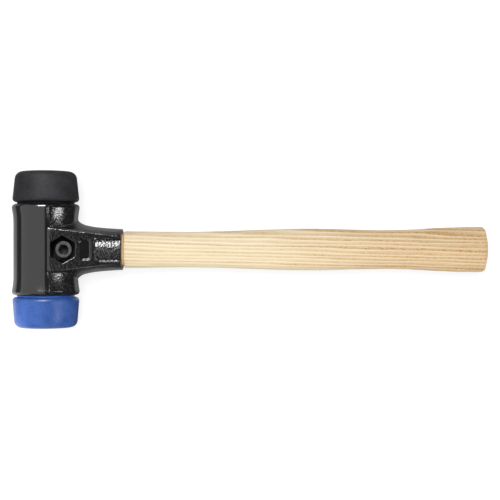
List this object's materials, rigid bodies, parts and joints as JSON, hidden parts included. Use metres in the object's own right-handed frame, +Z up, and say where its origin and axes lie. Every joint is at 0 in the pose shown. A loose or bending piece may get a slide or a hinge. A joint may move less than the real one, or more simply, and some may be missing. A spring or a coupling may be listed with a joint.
{
  "type": "soft face hammer",
  "caption": "Soft-face hammer: interchangeable round faces clamped by a socket screw in a split cast head, on an oval wooden handle.",
  "frame": {"origin": "on the ground under the middle of the hammer, which lies on its side on the rear half shell", "axes": "+X along the handle towards the butt, +Y along the striking axis towards the soft face, +Z up through the split, towards the screw's head"},
  "size_m": [0.285, 0.0934, 0.0404],
  "materials": {
    "cast": "glossy black paint over a cast skin",
    "soft": "matt, lightly worn",
    "medium": "satin",
    "wood": "clear satin lacquer over straight grain",
    "screw": "black oxide",
    "zinc": "bright zinc plate"
  },
  "bodies": {
    "rear_half": {"rear_shell": "cast", "clamp_nut": "zinc", "handle": "wood"},
    "front_half": {"front_shell": "cast", "lock_washer": "zinc"},
    "screw": {"clamp_screw": "screw"},
    "soft_insert": {"soft_face": "soft"},
    "medium_insert": {"medium_face": "medium"}
  },
  "joints": [
    {"name": "front_shell_lift", "type": "slide", "parent": "rear_half", "child": "front_half", "axis": [0, 0, 1], "range_m": [0, 0.002]},
    {"name": "clamp_screw_turn", "type": "hinge", "parent": "front_half", "child": "screw", "pos_m": [-0.1097, 0, 0.0202], "axis": [0, 0, 1], "range_deg": [0, 720]},
    {"name": "soft_face_pull", "type": "slide", "parent": "rear_half", "child": "soft_insert", "axis": [0, 1, 0], "range_m": [0, 0.018]},
    {"name": "medium_face_pull", "type": "slide", "parent": "rear_half", "child": "medium_insert", "axis": [0, -1, 0], "range_m": [0, 0.018]}
  ],
  "couplings": [
    {"joint": "clamp_screw_turn", "follows": "front_shell_lift", "rad_per_m": 6283}
  ]
}
